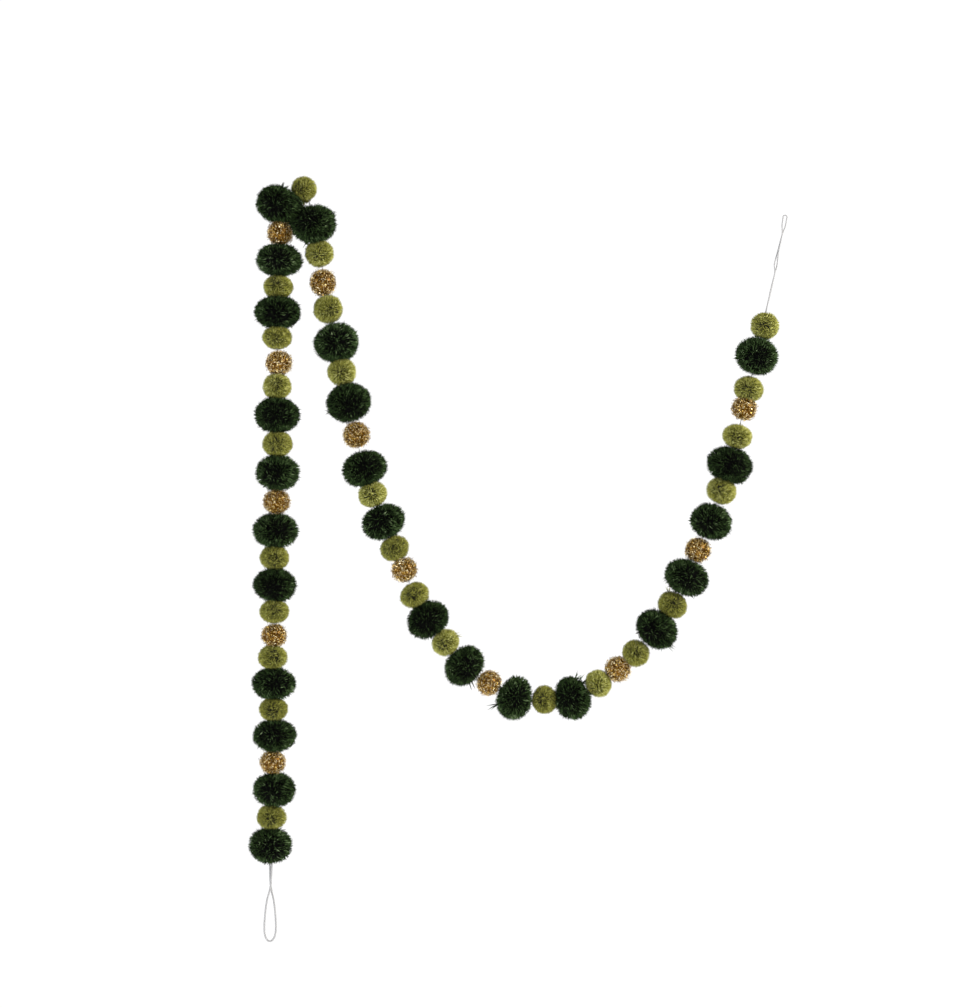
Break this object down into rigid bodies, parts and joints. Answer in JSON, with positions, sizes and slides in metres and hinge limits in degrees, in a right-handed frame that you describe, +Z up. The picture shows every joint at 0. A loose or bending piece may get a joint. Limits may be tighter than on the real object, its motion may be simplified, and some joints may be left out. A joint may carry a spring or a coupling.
{
  "type": "pom-pom garland",
  "caption": "Garland of dark green, moss green and gold tinsel pompoms threaded on a white string with a loop at each end, hung over a peg.",
  "frame": {"origin": "the hidden peg that the garland turns over, between the pompoms at the top left", "axes": "+Z up, +X along the swag towards its free right end, +Y from the front to the back"},
  "size_m": [0.5133, 0.0482, 0.7294],
  "materials": {
    "dark_green_yarn": "matt cut yarn",
    "moss_green_yarn": "matt fine cut yarn",
    "gold_tinsel": "glittering metallised film strips",
    "white_string": "matt plied cotton"
  },
  "bodies": {
    "root": {"dark_pompom_01": "dark_green_yarn", "light_pompom_02": "moss_green_yarn", "dark_pompom_03": "dark_green_yarn", "gold_ball_04": "gold_tinsel", "dark_pompom_05": "dark_green_yarn", "light_pompom_06": "moss_green_yarn", "dark_pompom_07": "dark_green_yarn", "light_pompom_08": "moss_green_yarn", "gold_ball_09": "gold_tinsel", "light_pompom_10": "moss_green_yarn", "dark_pompom_11": "dark_green_yarn", "light_pompom_12": "moss_green_yarn", "dark_pompom_13": "dark_green_yarn", "gold_ball_14": "gold_tinsel", "dark_pompom_15": "dark_green_yarn", "light_pompom_16": "moss_green_yarn", "dark_pompom_17": "dark_green_yarn", "light_pompom_18": "moss_green_yarn", "gold_ball_19": "gold_tinsel", "light_pompom_20": "moss_green_yarn", "dark_pompom_21": "dark_green_yarn", "light_pompom_22": "moss_green_yarn", "dark_pompom_23": "dark_green_yarn", "light_pompom_28": "moss_green_yarn", "gold_ball_29": "gold_tinsel", "light_pompom_30": "moss_green_yarn", "dark_pompom_31": "dark_green_yarn", "light_pompom_32": "moss_green_yarn", "dark_pompom_33": "dark_green_yarn", "gold_ball_34": "gold_tinsel", "dark_pompom_35": "dark_green_yarn", "light_pompom_36": "moss_green_yarn", "dark_pompom_37": "dark_green_yarn", "light_pompom_38": "moss_green_yarn", "gold_ball_39": "gold_tinsel", "light_pompom_40": "moss_green_yarn", "dark_pompom_41": "dark_green_yarn", "light_pompom_42": "moss_green_yarn", "dark_pompom_43": "dark_green_yarn", "gold_ball_44": "gold_tinsel", "dark_pompom_45": "dark_green_yarn", "light_pompom_46": "moss_green_yarn", "dark_pompom_47": "dark_green_yarn", "light_pompom_48": "moss_green_yarn", "gold_ball_49": "gold_tinsel", "light_pompom_50": "moss_green_yarn", "dark_pompom_51": "dark_green_yarn", "light_pompom_52": "moss_green_yarn", "dark_pompom_53": "dark_green_yarn", "gold_ball_54": "gold_tinsel", "dark_pompom_55": "dark_green_yarn", "light_pompom_56": "moss_green_yarn", "dark_pompom_57": "dark_green_yarn", "light_pompom_58": "moss_green_yarn", "gold_ball_59": "gold_tinsel", "light_pompom_60": "moss_green_yarn", "dark_pompom_61": "dark_green_yarn", "light_pompom_62": "moss_green_yarn", "bunch_at_peg": "dark_green_yarn", "string": "white_string"}
  },
  "joints": []
}
